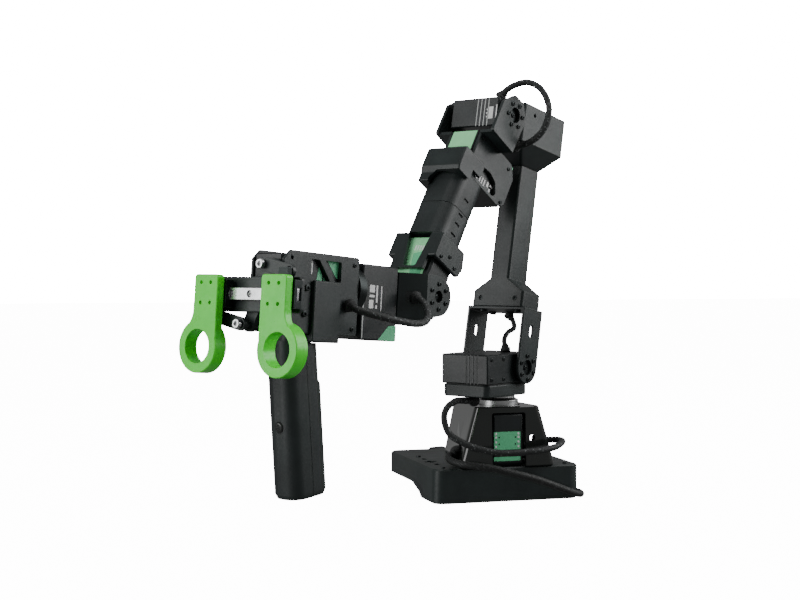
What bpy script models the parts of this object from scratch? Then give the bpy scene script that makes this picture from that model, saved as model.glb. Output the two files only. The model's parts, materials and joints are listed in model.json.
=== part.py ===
"""Desktop six-joint arm with a two-ring gripper and a hanging handle.

Every sub-part is one object. Lengths below are in millimetres and become metres in the mesh.
The frames are empties on the joint axes: +X of an arm frame points along the arm, +Y along the
pitch axes, +Z up or towards the upper side.
"""

import math

import bmesh
import bpy
from mathutils import Vector

MM = 0.001
GAP = 0.3

# Skeleton: joint places and resting angles.
ARM_YAW = -56.15
ARM_LEAN = -11.0
FOREARM_PITCH = 57.7
HAND_PITCH = -4.5
HANDLE_LEAN = 9.0
SHOULDER_UP = 94.0
ELBOW_FORWARD = 48.8
ELBOW_UP = 170.8
FOREARM_LENGTH = 150.8
ROLL_RISE = 4.0

# Base.
BASE_HALF_WIDTH = 54.5
BASE_FRONT = 20.0
BASE_REAR = -96.0
BASE_HEIGHT = 24.3
LEDGE_HEIGHT = 9.0
CORE_HALF_WIDTH = 36.0
SHROUD_TOP = 67.0
SHROUD_WALL = 2.4

# Large servo cases, measured from their shaft.
LARGE_HALF_DEPTH = 20.0
LARGE_HALF_WIDTH = 10.4
LARGE_NEAR_END = 14.0
LARGE_FAR_END = 41.0

# Upper arm.
YOKE_HALF_WIDTH = 11.5
YOKE_WALL = 2.0
YOKE_INSIDE = 23.0
YOKE_TOP = 42.0
COLUMN_DEPTH = 23.5
COLUMN_WIDTH = 17.0
COLUMN_END = 145.0
HOUSING = (-19.4, 33.6, 22.0, 157.5, 185.0)

# Forearm and wrist.
TUBE_SIDE = 30.0
TUBE_ROUND = 9.0
TUBE_WALL = 2.5
TUBE_START = 57.3
TUBE_SEAM = 84.0
TUBE_END = 109.0

# Gripper. The rail runs across the hand, below the roll axis.
RAIL_DROP = 8.0
RAIL_HALF_LENGTH = 37.0
RING_OFFSET = 28.0
RING_SHIFT = 5.0
RING_DROP = 32.0
RING_OUTER = 16.0
RING_BORE = 10.3
CRANK_PIN = (8.4, 17.7)
LINK_END = (29.0, 13.6)

# Power lead that lies free, and the coil of what is left of it.
CORD_DIAMETER = 5.0
COIL_CENTRE = (-146.0, 20.0)
COIL_RADIUS = 27.5
COIL_HEIGHT = 15.2


def clear_scene():
    for item in list(bpy.data.objects):
        bpy.data.objects.remove(item, do_unlink=True)


def material(name, colour, roughness, metallic=0.0):
    made = bpy.data.materials.new(name)
    made.use_nodes = True
    shader = made.node_tree.nodes["Principled BSDF"]
    shader.inputs["Base Color"].default_value = (*colour, 1.0)
    shader.inputs["Roughness"].default_value = roughness
    shader.inputs["Metallic"].default_value = metallic
    made.diffuse_color = (*colour, 1.0)
    return made


def frame(name, parent=None, at=(0, 0, 0), turn=(0, 0, 0)):
    """An empty on a joint axis. at is in millimetres and turn in degrees, both in the parent."""
    made = bpy.data.objects.new(name, None)
    bpy.context.collection.objects.link(made)
    made.parent = parent
    made.location = Vector(at) * MM
    made.rotation_euler = [math.radians(angle) for angle in turn]
    return made


# Outlines: lists of (u, v) points.


def rounded(corners, steps=3):
    """The closed outline through corners (u, v, r), each one turned into an arc of radius r."""
    outline = []
    for i, (u, v, radius) in enumerate(corners):
        corner = Vector((u, v))
        if radius <= 0:
            outline.append((u, v))
            continue
        back = (Vector(corners[i - 1][:2]) - corner).normalized()
        ahead = (Vector(corners[(i + 1) % len(corners)][:2]) - corner).normalized()
        half = back.angle(ahead) / 2
        centre = corner + (back + ahead).normalized() * (radius / math.sin(half))
        first = corner + back * (radius / math.tan(half)) - centre
        last = corner + ahead * (radius / math.tan(half)) - centre
        sweep = math.atan2(first.cross(last), first.dot(last))
        for step in range(steps + 1):
            angle = math.atan2(first.y, first.x) + sweep * step / steps
            outline.append((centre.x + radius * math.cos(angle), centre.y + radius * math.sin(angle)))
    return outline


def box_outline(u_low, u_high, v_low, v_high, radius=0.0, steps=3):
    ends = [(u_low, v_low), (u_high, v_low), (u_high, v_high), (u_low, v_high)]
    return rounded([(u, v, radius) for u, v in ends], steps)


def circle(u, v, radius, count=24):
    angles = [2 * math.pi * i / count for i in range(count)]
    return [(u + radius * math.cos(a), v + radius * math.sin(a)) for a in angles]


def capsule(first, last, radius, steps=8):
    """The outline of a bar with round ends, from one centre to the other."""
    along = (Vector(last) - Vector(first)).normalized()
    heading = math.atan2(along.y, along.x)
    outline = []
    for centre, start in ((last, heading - math.pi / 2), (first, heading + math.pi / 2)):
        for step in range(steps + 1):
            angle = start + math.pi * step / steps
            outline.append((centre[0] + radius * math.cos(angle), centre[1] + radius * math.sin(angle)))
    return outline


# Solids: lists of rings of (x, y, z) points, closed by a face at each end.


def placed(u, v, w, axis):
    return {"x": (w, u, v), "y": (u, w, v), "z": (u, v, w)}[axis]


def prism(outline, axis, low, high):
    return [[placed(u, v, w, axis) for u, v in outline] for w in (low, high)]


def box(x_low, x_high, y_low, y_high, z_low, z_high, radius=0.0, axis="z"):
    spans = {"x": (y_low, y_high, z_low, z_high), "y": (x_low, x_high, z_low, z_high)}
    ends = {"x": (x_low, x_high), "y": (y_low, y_high), "z": (z_low, z_high)}
    outline = box_outline(*spans.get(axis, (x_low, x_high, y_low, y_high)), radius)
    return prism(outline, axis, *ends[axis])


def rod(centre, radius, axis, low, high, count=24):
    return prism(circle(*centre, radius, count), axis, low, high)


def turned(centre, profile, axis, count=24):
    """A round solid from its profile of (radius, place along the axis)."""
    return [[placed(u, v, w, axis) for u, v in circle(*centre, r, count)] for r, w in profile]


def mesh_of(name, rings, closed=False):
    shape = bmesh.new()
    rows = [[shape.verts.new(Vector(point) * MM) for point in ring] for ring in rings]
    if not closed:
        shape.faces.new(rows[0])
        shape.faces.new(rows[-1])
    pairs = list(zip(rows, rows[1:]))
    if closed:
        pairs.append((rows[-1], rows[0]))
    for lower, upper in pairs:
        for i in range(len(lower)):
            j = (i + 1) % len(lower)
            shape.faces.new((lower[i], lower[j], upper[j], upper[i]))
    bmesh.ops.recalc_face_normals(shape, faces=shape.faces)
    made = bpy.data.meshes.new(name)
    shape.to_mesh(made)
    shape.free()
    made.shade_smooth()
    made.set_sharp_from_angle(angle=math.radians(30))
    return made


def part(name, rings, finish, parent, soften=0.0, closed=False):
    """One named sub-part. soften is the width of its edge bevel."""
    made = bpy.data.objects.new(name, mesh_of(name, rings, closed))
    bpy.context.collection.objects.link(made)
    made.parent = parent
    made.data.materials.append(finish)
    if soften:
        bevel = made.modifiers.new("edges", "BEVEL")
        bevel.width = soften * MM
        bevel.segments = 1
        bevel.limit_method = "ANGLE"
        bevel.angle_limit = math.radians(50)
    return made


def shaped(target, rings, operation, solver):
    """Cuts a shape out of target, adds it, or keeps what they share. Both lie in one frame."""
    helper = bpy.data.objects.new(f"{target.name}_{operation.lower()}", mesh_of("helper", rings))
    bpy.context.collection.objects.link(helper)
    helper.parent = target.parent
    helper.hide_render = True
    helper.display_type = "WIRE"
    boolean = target.modifiers.new(operation.lower(), "BOOLEAN")
    boolean.operation = operation
    boolean.solver = solver
    boolean.object = helper


def cut(target, rings, solver="EXACT"):
    shaped(target, rings, "DIFFERENCE", solver)


def add(target, rings, solver="EXACT"):
    shaped(target, rings, "UNION", solver)


def keep(target, rings, solver="EXACT"):
    shaped(target, rings, "INTERSECT", solver)


def smooth_route(points, spacing):
    """Points about spacing apart on the smooth curve through the given ones."""
    route = [Vector(point) for point in points]
    ends = [route[0] * 2 - route[1], *route, route[-1] * 2 - route[-2]]
    fine = []
    for before, start, end, after in zip(ends, ends[1:], ends[2:], ends[3:]):
        steps = max(1, round((end - start).length / spacing))
        for step in range(steps):
            t = step / steps
            fine.append(
                0.5
                * (
                    2 * start
                    + (end - before) * t
                    + (2 * before - 5 * start + 4 * end - after) * t**2
                    + (3 * start - before - 3 * end + after) * t**3
                )
            )
    return [*fine, route[-1]]


def tube(name, points, diameter, finish, spacing=2.5):
    data = bpy.data.curves.new(name, "CURVE")
    data.dimensions = "3D"
    data.bevel_depth = diameter / 2 * MM
    data.bevel_resolution = 2
    data.use_fill_caps = True
    fine = smooth_route(points, diameter * spacing)
    line = data.splines.new("POLY")
    line.points.add(len(fine) - 1)
    for point, place in zip(line.points, fine):
        point.co = (*(place * MM), 1.0)
    data.materials.append(finish)
    made = bpy.data.objects.new(name, data)
    bpy.context.collection.objects.link(made)
    return made


# Base: plate, cover, board, shroud, yaw servo.


def build_base(root, paint):
    half = BASE_HALF_WIDTH
    corners = [(BASE_FRONT, -half, 8), (BASE_FRONT, half, 8), (BASE_REAR, half, 9), (BASE_REAR, -half, 9)]
    plate = part("base_plate", prism(rounded(corners, 5), "z", 0, BASE_HEIGHT), paint["black"], root, 1.0)
    ledge = [(-13, -2, 0), (-14, 3, 6), (-34, LEDGE_HEIGHT, 8), (-110, LEDGE_HEIGHT, 0), (-110, -2, 0)]
    for side in (-1, 1):
        span = sorted((side * CORE_HALF_WIDTH, side * (half + 5)))
        cut(plate, prism(rounded(ledge), "y", *span))
        for x, size in ((-38, 3.0), (-8, 3.0), (-23, 4.5)):
            cut(plate, box(x - size, x + size, side * 44 - 1.6, side * 44 + 1.6, 14, 26))
        cut(plate, box(-24.6, -21.4, side * 44 - 4.5, side * 44 + 4.5, 14, 26))
    cut(plate, box(-80, 12, -30, 30, -1, 20.5))
    cover = part("base_cover", box(-79.7, 11.7, -29.7, 29.7, 0, 2.2), paint["black"], root)
    for x, y in ((-69, -21), (-69, 21), (-11, -21), (-11, 21)):
        add(cover, rod((x, y), 2.5, "z", 1, 6 - GAP, 10))
    part("control_board", box(-72, -8, -24, 24, 6, 7.6), paint["board"], root)


def shroud_rings(inset, low, high):
    """The shroud's sides drawn in by inset: they lean in from the plate to the top."""
    rings = []
    for height in (low, high):
        t = (height - BASE_HEIGHT) / (SHROUD_TOP - BASE_HEIGHT)
        front = 22 - 2 * t - inset
        rear = -82 + 22 * t + inset
        wide = 37 - 12.5 * t - inset
        narrow = 14 - inset
        corners = [(front, -wide, 5), (front, wide, 5), (rear, narrow, 5), (rear, -narrow, 5)]
        rings.append([(u, v, height) for u, v in rounded(corners, 4)])
    return rings


def build_shroud(root, paint):
    shroud = part("base_shroud", shroud_rings(0, BASE_HEIGHT + GAP, SHROUD_TOP), paint["gloss"], root, 0.8)
    cut(shroud, shroud_rings(SHROUD_WALL, BASE_HEIGHT - 3, SHROUD_TOP - 2.6))
    cut(shroud, box(8, 30, -12.6, 12.6, 20, 62.5, 1.5, "x"))
    cut(shroud, box(-12, 5, -48, -16, 26.5, 38, 2, "y"), "MANIFOLD")
    cut(shroud, box(-12, 8.5, 16, 48, 34, 46, 2, "y"), "MANIFOLD")
    cut(shroud, rod((17.5, 44.5), 2.2, "x", 10, 30, 12), "MANIFOLD")
    cut(shroud, rod((0, 0), 15.2, "z", 60, 70, 28), "MANIFOLD")
    yaw = part("yaw_servo", box(-33, 19.6, -11, 11, BASE_HEIGHT + GAP, 61.6), paint["case"], root, 0.8)
    cut(yaw, prism([(21, 22), (21, 30), (15, 22)], "y", -14, 14))
    gland = turned((0, 0), [(5.2, -6), (5.2, -3), (3.6, 0), (2.8, 7.0)], "x", 16)
    holder = frame("gland_frame", root, (-5, -31.2, 32), (0, 0, -38))
    part("cable_gland", gland, paint["rubber"], holder)


# Shoulder: horn, tray and servo turn about the vertical axis.


def large_servo(name, paint, parent, at, near_side, grooved_end):
    """A large case. near_side is the sign of the end that lies close to its shaft."""
    x0, y0, z0 = at
    low, high = sorted((near_side * LARGE_NEAR_END, -near_side * LARGE_FAR_END))
    case = part(
        name,
        box(x0 + low, x0 + high, y0 - 20, y0 + 20, z0 - LARGE_HALF_WIDTH, z0 + LARGE_HALF_WIDTH),
        paint["case"],
        parent,
        0.8,
    )
    face = x0 + (high if grooved_end > 0 else low)
    for index in range(4):
        y = y0 + 1.5 + 3.1 * index
        cut(case, box(face - 0.7, face + 0.7, y, y + 1.2, z0 - 15, z0 + 15))
    return case


def shaft_discs(body, half_depth, radius, thick, paint, parent):
    """The driven horn on the right of a servo and the free disc on its left."""
    for side, label in ((1, "horn"), (-1, "idler")):
        low, high = sorted((side * (half_depth + GAP), side * (half_depth + thick)))
        part(f"{body}_{label}", rod((0, 0), radius, "y", low, high), paint["dark_metal"], parent)


def build_shoulder(yaw, paint):
    profile = [(14, 62 + GAP), (14, 70.5), (11.5, 72.0), (11.5, 74.4)]
    part("yaw_horn", turned((0, 0), profile, "z", 28), paint["steel"], yaw)
    tray = part("shoulder_tray", box(-8, 41, -20, 20, 74.7, 83.2, 5), paint["black"], yaw, 0.6)
    cut(tray, box(-4, 37, -16, 16, 80.4, 90, 3))
    large_servo("shoulder_servo", paint, yaw, (0, 0, SHOULDER_UP), -1, 1)


# Upper arm: yoke, column and elbow housing lean back from the shoulder axis.


def build_upper_arm(arm, paint):
    shaft_discs("shoulder", LARGE_HALF_DEPTH, 10.4, 2.7, paint, arm)
    half = YOKE_HALF_WIDTH
    side = [(half, 0), (half, YOKE_TOP), (-half, YOKE_TOP), (-half, 0)]
    arc = [(-half * math.cos(a), -half * math.sin(a)) for a in [math.pi * i / 12 for i in range(1, 12)]]
    outside = YOKE_INSIDE + YOKE_WALL
    yoke = part("shoulder_yoke", prism(side + arc, "y", -outside, outside), paint["black"], arm, 0.5)
    cut(yoke, box(-15, 15, -YOKE_INSIDE, YOKE_INSIDE, -20, YOKE_TOP - YOKE_WALL, 1.2, "x"))
    cut(yoke, prism(capsule((0, 23.5), (0, 28.0), 2.2, 5), "y", -30, 30))
    cut(yoke, rod((0, 0), 5.5, "y", -30, 30, 16))
    foot, column = (22, 44), (COLUMN_DEPTH, COLUMN_WIDTH)
    levels = [(YOKE_TOP + GAP, foot), (53.3, foot), (62, column), (COLUMN_END, column)]
    rings = [
        [(u, v, height) for u, v in box_outline(-deep / 2, deep / 2, -wide / 2, wide / 2, 2)]
        for height, (deep, wide) in levels
    ]
    made = part("column", rings, paint["black"], arm)
    cut(made, box(-13, 7.5, -5.5, 5.5, 64, COLUMN_END - 3))
    cut(made, box(-8, 7.5, -5.5, 5.5, 38, 70))
    for y in (-15, 15):
        cut(made, rod((y, 48), 1.7, "x", 8, 13, 10))
    part("column_cover", box(-11.6, -9.6, -5.2, 5.2, 64.3, COLUMN_END - 3.3), paint["black"], arm)
    build_elbow_housing(arm, paint)


def build_elbow_housing(arm, paint):
    rear, front, half, low, high = HOUSING
    flare = [
        (COLUMN_END + GAP, box_outline(-11.75, 11.75, -8.5, 8.5, 2)),
        (low, box_outline(rear, front, -half, half, 2.5)),
        (high, box_outline(rear, front, -half, half, 2.5)),
    ]
    rings = [[(u, v, height) for u, v in outline] for height, outline in flare]
    housing = part("elbow_housing", rings, paint["black"], arm)
    cut(housing, box(-16.8, 45, -20.3, 20.3, 160.1, 181.5))
    cut(housing, box(-5, 5, -4.5, 4.5, 140, 165))
    for x, z in ((20.5, 178.5), (17.5, 164.5)):
        cut(housing, rod((x, z), 1.7, "y", 18, 25, 4))
    large_servo("elbow_servo", paint, arm, (ELBOW_FORWARD, 0, ELBOW_UP), 1, 1)


# Forearm: two ears, the roll servo between their inner plates, and the front cover.


def build_forearm(forearm, paint):
    shaft_discs("elbow", LARGE_HALF_DEPTH, 10.4, 2.7, paint, forearm)
    ear = [(-1, 16, 3), (-12.5, 7, 4), (-13, -4, 4), (-4, -12.5, 3), (14, -11.5, 3)]
    ear = rounded([*ear, (24, -11, 0), (24, 16, 2)])
    cheek = [(21.6, -28, 3), (30, -35, 4), (53, -35, 4), (56.8, -27, 3)]
    cheek = rounded([*cheek, (56.8, 13.5, 2), (21.6, 13.5, 0)])
    for side, label in ((1, "right"), (-1, "left")):
        plate = part(
            f"forearm_plate_{label}",
            prism(cheek, "y", *sorted((side * 11.4, side * 14.0))),
            paint["black"],
            forearm,
            0.5,
        )
        add(plate, prism(ear, "y", *sorted((side * 23.0, side * 25.4))))
        add(plate, box(21.6, 24.0, *sorted((side * 12.5, side * 24.5)), -11, 14))
        cut(plate, rod((0, 0), 5.5, "y", -30, 30, 16))
        window = [(54.2, 5), (47, 5), (42.5, -2), (41.5, -10), (44, -18), (50, -22), (54.2, -22)]
        cut(plate, prism(rounded([(u, v, 3) for u, v in window], 2), "y", *sorted((side * 9, side * 20))))
    part("forearm_roll_servo", box(20.6, 54.6, -11, 11, -34, 14), paint["case"], forearm, 0.8)
    hood = [(43, 0, 2), (43, 25.5, 2.5), (59, 25.5, 2.5), (63.5, 23.6, 2), (70, 23.6, 1)]
    hood = rounded([*hood, (70, 11, 2), (52, 0, 3)])
    cover = part("forearm_cover", prism(hood, "y", -16.7, 16.7), paint["black"], forearm, 0.8)
    cut(cover, box(40, 61.5, -14.3, 14.3, -10, 22.8))
    cut(cover, rod((0, ROLL_RISE), 18.0, "x", 53.5, 80, 32))
    arch = rounded([(80, -7, 0), (67, -8, 4), (61.8, -3, 4), (61.8, 20, 0), (80, 20, 0)])
    cut(cover, prism(arch, "z", 4, 30))


# Forearm tube with the wrist servo: turns about the forearm's own axis.


def tube_rings(start, end, inset=0.0):
    """The tube's square outline with round corners, drawn in by inset."""
    half = TUBE_SIDE / 2 - inset
    return prism(box_outline(-half, half, -half, half, TUBE_ROUND - inset, 6), "x", start, end)


def build_tube(roll, paint):
    part("roll_horn", rod((0, 0), 9.5, "x", 54.6 + GAP, TUBE_START - GAP), paint["steel"], roll)
    upper = part("forearm_tube_upper", tube_rings(TUBE_START, TUBE_SEAM), paint["satin"], roll)
    cut(upper, tube_rings(TUBE_START + 3, TUBE_SEAM + 1, TUBE_WALL))
    lower = part("forearm_tube_lower", tube_rings(TUBE_SEAM + GAP, TUBE_END), paint["satin"], roll)
    cut(lower, tube_rings(TUBE_SEAM - 1, TUBE_END - 3, TUBE_WALL))
    for half, places in ((upper, (74.7,)), (lower, (86.6, 94, 102.3))):
        for x in places:
            cut(half, box(x - 0.8, x + 0.8, TUBE_SIDE / 2 - 0.8, TUBE_SIDE / 2 + 2, -2.6, 2.6))
    end = FOREARM_LENGTH + 12
    part("wrist_servo", box(TUBE_END + 0.6, end, -16.5, 16.5, -11, 11), paint["case"], roll, 1.2)
    rear = TUBE_END + GAP
    shell = rounded([(rear, -12, 2), (120, -16, 3), (128, -14, 3), (128, 15.4, 1.5), (rear, 15.4, 1.5)])
    housing = part("wrist_housing", prism(shell, "y", -20.3, 20.3), paint["black"], roll, 0.6)
    cut(housing, box(100, 140, -17.6, 17.6, -20, 13))
    add(housing, box(126, 137.5, -14.2, 14.2, 13, 15.4))
    notch = rounded([(108, -9, 0), (136, -3, 1.5), (136, 7, 1.5), (108, 11, 0)])
    cut(housing, prism(notch, "z", 10, 20))


# Wrist: a yoke round the wrist servo that carries the hand's roll servo.


def build_wrist(wrist, paint):
    shaft_discs("wrist", 16.5, 9.0, 4.0, paint, wrist)
    outer = [(-14, -23.2), (12.5, -23.2), (27.2, -11), (27.2, 11), (12.5, 23.2), (-14, 23.2)]
    inner = [(-16, -20.8), (11.5, -20.8), (24.9, -9.7), (24.9, 9.7), (11.5, 20.8), (-16, 20.8)]
    yoke = part("wrist_yoke", prism(outer, "z", -20, 14), paint["black"], wrist)
    cut(yoke, prism(inner, "z", -22, 16))
    arc = [(-13 * math.sin(a), 13 * math.cos(a)) for a in [math.pi * i / 12 for i in range(13)]]
    outline = [*arc, (10, -15), (14, -20), (30, -20), (30, 14), (4, 14)]
    keep(yoke, prism(outline, "y", -25, 25))
    for side in (-1, 1):
        cut(yoke, rod((0, 0), 4.0, "y", *sorted((side * 19, side * 25)), 16))
    cut(yoke, box(17.4, 23.0, 10, 24, -4, 2))
    part("wrist_roll_servo", box(27.6, 62, -11, 11, -31, 17), paint["case"], wrist, 0.8)


# Hand: frame, gripper servo, rail, handle and button turn with the hand's roll.


def build_hand(hand, paint):
    part("hand_horn", rod((0, 0), 15.5, "x", 62 + GAP, 68.9, 28), paint["dark_metal"], hand)
    part("hand_rear_plate", box(69.2, 71.8, -11.2, 11.2, -29, 19, 2, "x"), paint["black"], hand)
    cheek = [(69.2, -29.5, 2), (134, -29.5, 3), (134, -17, 0), (141.8, -17, 0)]
    cheek += [(141.8, 1, 0), (136.8, 1, 0), (136.8, 14, 0), (131, 19.7, 2), (69.2, 19.7, 2)]
    low_window = [(113, 2, 1), (113, 15.5, 1), (106, 15.5, 1), (95, 2, 1)]
    high_window = [(101.5, 15.5, 1), (86, 15.5, 1), (86, 2, 1), (90.5, 2, 1)]
    for side, label in ((1, "right"), (-1, "left")):
        span = sorted((side * 11.5, side * 13.8))
        plate = part(f"hand_plate_{label}", prism(rounded(cheek, 2), "y", *span), paint["black"], hand, 0.4)
        for window in (low_window, high_window):
            cut(plate, prism(rounded(window, 2), "y", *sorted((side * 9, side * 18))))
        for z in (-25, 15):
            cut(plate, rod((130, z), 1.2, "y", *sorted((side * 9, side * 18)), 10))
    part("gripper_servo", box(100, 136, -11, 11, -27.5, 17.5), paint["case"], hand, 0.8)
    top = part("hand_bracket", box(88, 112, -16.6, 16.6, -34.2, 3.0), paint["black"], hand, 0.6)
    cut(top, box(80, 120, -14.1, 14.1, -29.8, 10))
    build_rail(hand, paint)
    build_handle(hand, paint)


def build_rail(hand, paint):
    low, high = -RAIL_DROP - 10.5, -RAIL_DROP + 10.5
    half = RAIL_HALF_LENGTH
    strip = box(142.2, 145.3, -half, half, low, high, 2.5, "x")
    bar = part("rail_plate", strip, paint["black"], hand, 0.4)
    for y in (-33.5, 33.5):
        for z in (low + 4, high - 4):
            cut(bar, rod((y, z), 1.1, "x", 140, 150, 10))
    length = half - 1
    low, high = -RAIL_DROP - 3.5, -RAIL_DROP + 3.5
    rail = part("rail", box(145.6, 150.4, -length, length, low, high), paint["chrome"], hand)
    for y in (-30, -15, 0, 15, 30):
        cut(rail, rod((y, -RAIL_DROP), 2.1, "x", 148.1, 155, 12))


def build_handle(hand, paint):
    grip = frame("handle_frame", hand, (112, 0, -34.5), (0, HANDLE_LEAN, 0))
    lean = math.tan(math.radians(HANDLE_LEAN))

    def rings(inset, top, bottom):
        made = []
        for z, rear in ((top, -14.0), (-24, -14.0), (-27, -15.6), (bottom + 3, -15.6), (bottom, -14.6)):
            low, high = rear + inset, (15.0 if z > bottom else 14.0) - inset
            wide = (11.3 if z > bottom else 10.3) - inset
            outline = box_outline(low, high, -wide, wide, 8.0 - inset, 4)
            made.append([(u, v, z + (u * lean if z == top else 0)) for u, v in outline])
        return made

    for label, x_low, x_high in (("front", 0.15, 30), ("rear", -30, -0.15)):
        shell = part(f"handle_{label}", rings(0, 0, -94), paint["satin"], grip)
        cut(shell, rings(2.4, -5, -91))
        keep(shell, box(x_low, x_high, -30, 30, -100, 20))
        if label == "front":
            cut(shell, rod((0, -50), 3.6, "x", 10, 20, 16))
    button = turned((0, -50), [(4.6, 8.6), (4.6, 12.0), (3.3, 12.0), (3.3, 15.2), (2.6, 15.9)], "x", 16)
    part("handle_button", button, paint["gloss"], grip)


def build_crank(hand, paint):
    """The double crank on the gripper servo, and the link from each of its pins to a carriage."""
    centre = frame("crank_axis", hand, (0, 0, -RAIL_DROP))
    y, z = CRANK_PIN
    arms = prism(capsule((-y, -z), (y, z), 4.4), "x", 137.9, 141.9)
    crank = part("gripper_crank", arms, paint["black"], centre)
    add(crank, rod((0, 0), 8.5, "x", 136.3, 141.7))
    for sign, label in ((1, "right"), (-1, "left")):
        pin = (sign * y, sign * z)
        add(crank, turned(pin, [(2.8, 141), (2.8, 145.4), (1.4, 145.4), (1.4, 148.9)], "x", 16))
        cap = rod(pin, 2.9, "x", 149.2, 152.2, 16)
        head = part(f"pivot_screw_{label}", cap, paint["chrome"], centre, 0.3)
        cut(head, rod(pin, 1.5, "x", 150.6, 153, 6))
        end = (sign * LINK_END[0], sign * LINK_END[1])
        bar = prism(capsule(pin, end, 4.0), "x", 145.8, 148.6)
        link = part(f"link_{label}", bar, paint["black"], centre)
        cut(link, rod(pin, 1.7, "x", 140, 155, 14))
        cut(link, rod(end, 2.65, "x", 140, 155, 18))


def build_slides(hand, paint):
    """A carriage on the rail and the ring plate on it, right and left."""
    for sign, label in ((1, "right"), (-1, "left")):
        slide = frame(f"ring_{label}_slide", hand, (0, sign * RING_OFFSET, -RAIL_DROP))
        body = box(146.8, 153, -11.2, 11.2, -8.2, 8.2)
        block = part(f"carriage_{label}", body, paint["dark_metal"], slide)
        cut(block, box(140, 150.7, -15, 15, -3.8, 3.8))
        lug_y = sign * LINK_END[0] - sign * RING_OFFSET
        lug_z = sign * LINK_END[1]
        lug = sorted((sign * 6.5, lug_z + sign * 2.0))
        add(block, box(149.2, 153, lug_y - 3.5, lug_y + 3.5, *lug))
        add(block, turned((lug_y, lug_z), [(1.35, 145.9), (1.35, 151)], "x", 14))
        build_ring(slide, label, sign, paint)


def build_ring(slide, label, sign, paint):
    back, face = 153.3, 158.9
    outer = sign * RING_SHIFT
    side = [(-10, 11, 2), (10, 11, 2), (10, -14, 12), (outer + 15.4, -29, 4), (outer, -RING_DROP, 0)]
    side += [(outer - 15.4, -29, 4), (-10, -14, 12)]
    ring = part(f"ring_{label}", prism(rounded(side, 4), "x", back, face), paint["green"], slide, 0.4)
    edge = RING_OUTER - 0.5
    rim = [(edge, 149.4), (RING_OUTER, 149.9), (RING_OUTER, face - 0.5), (edge, face)]
    add(ring, turned((outer, -RING_DROP), rim, "x", 48))
    cut(ring, turned((outer, -RING_DROP), [(RING_BORE, 140), (RING_BORE, 170)], "x", 40))
    for y in (-4, 4):
        for z in (-6, 6):
            cut(ring, rod((y, z), 1.25, "x", 150, 162, 10))


# Leads between the housings, in the base's own frame.

LEADS = {
    "base_lead": (
        4.6,
        [(17, -24, 71.5), (22, -32, 72), (26, -41, 72.5), (27, -48, 68), (26.5, -50, 60.5)]
        + [(28, -47, 50.5), (32, -39, 44.5), (36, -28, 40), (41, -11.5, 37), (43.5, 9.5, 38)]
        + [(40, 26, 39.6), (31, 36, 42), (18, 39, 42), (8, 34, 41), (0, 27.5, 40.5)],
    ),
    "shoulder_lead": (
        3.6,
        [(0, 5, 106.8), (-2, 5, 113), (-5, 9, 118), (-6, 14, 121), (-8, 14, 126), (-10, 12, 130)],
    ),
    "elbow_lead": (
        4.6,
        [(17, -5.3, 284.5), (20, -1.9, 289.3), (23, 4.4, 293.3), (26, 12.2, 294.8), (30, 18.9, 291.1)]
        + [(33, 23, 283.9), (35, 24.4, 274.7), (35, 22.2, 264.9), (33, 17.8, 257.3), (27, 12, 252.2)]
        + [(17, 5, 250)],
    ),
    "hand_lead": (
        4.6,
        [(112.3, -140.5, 141.9), (118, -137, 139.3), (122.5, -130.5, 136.7), (123, -119, 133.8)]
        + [(118, -106, 131), (110.5, -94.5, 129.6), (103.5, -87, 131.5), (96.5, -84.2, 137)]
        + [(89.5, -85.2, 142.8), (82, -88.6, 146)],
    ),
}

CORD_ROUTE = [
    (1.5, -36.6, 32),
    (8, -40.5, 31),
    (16, -40.8, 29.5),
    (24.5, -36.5, 28.3),
    (30, -28, 27.3),
    (32.5, -16, 25.5),
    (32.5, -2, 22),
    (30.5, 14, 17.5),
    (28.5, 28, 12.5),
    (26.7, 40, 7.8),
    (24.2, 48.3, 4.7),
    (19.9, 54.7, 3.1),
    (12.2, 57.8, 2.7),
    (2, 58.2, 2.6),
    (-18, 58.3, 2.6),
    (-38, 58.4, 2.6),
    (-60, 58.4, 2.6),
    (-82, 57.6, 2.6),
    (-104, 54.5, 2.6),
    (-127.8, 50.3, 2.6),
]


def build_leads(paint):
    for name, (diameter, points) in LEADS.items():
        tube(name, points, diameter, paint["cord"])
    tube("power_cable", CORD_ROUTE, CORD_DIAMETER, paint["cord"])


def build_coil(root, paint):
    """The turned ring that the rest of the lead fills, and the plug that lies beside it."""
    middle = (0.2 + COIL_HEIGHT) / 2
    section = [(COIL_RADIUS + u, v + middle) for u, v in box_outline(-5.2, 5.2, -7.4, 7.4, 2.5, 2)]
    count = 32
    rings = []
    for i in range(count):
        a = 2 * math.pi * i / count
        x, y = COIL_CENTRE
        rings.append([(x + r * math.cos(a), y + r * math.sin(a), z) for r, z in section])
    part("power_coil", rings, paint["cord"], root, closed=True)
    x, y = COIL_CENTRE[0] + 18, COIL_CENTRE[1] - COIL_RADIUS - 5.5
    grip = box(x, x + 20, y - 4.5, y + 4.5, 0.1, 9.1, 1.5, "x")
    plug = part("power_plug", grip, paint["rubber"], root, 0.6)
    add(plug, rod((y, 4.6), 2.75, "x", x + 18, x + 29, 16))


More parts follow.
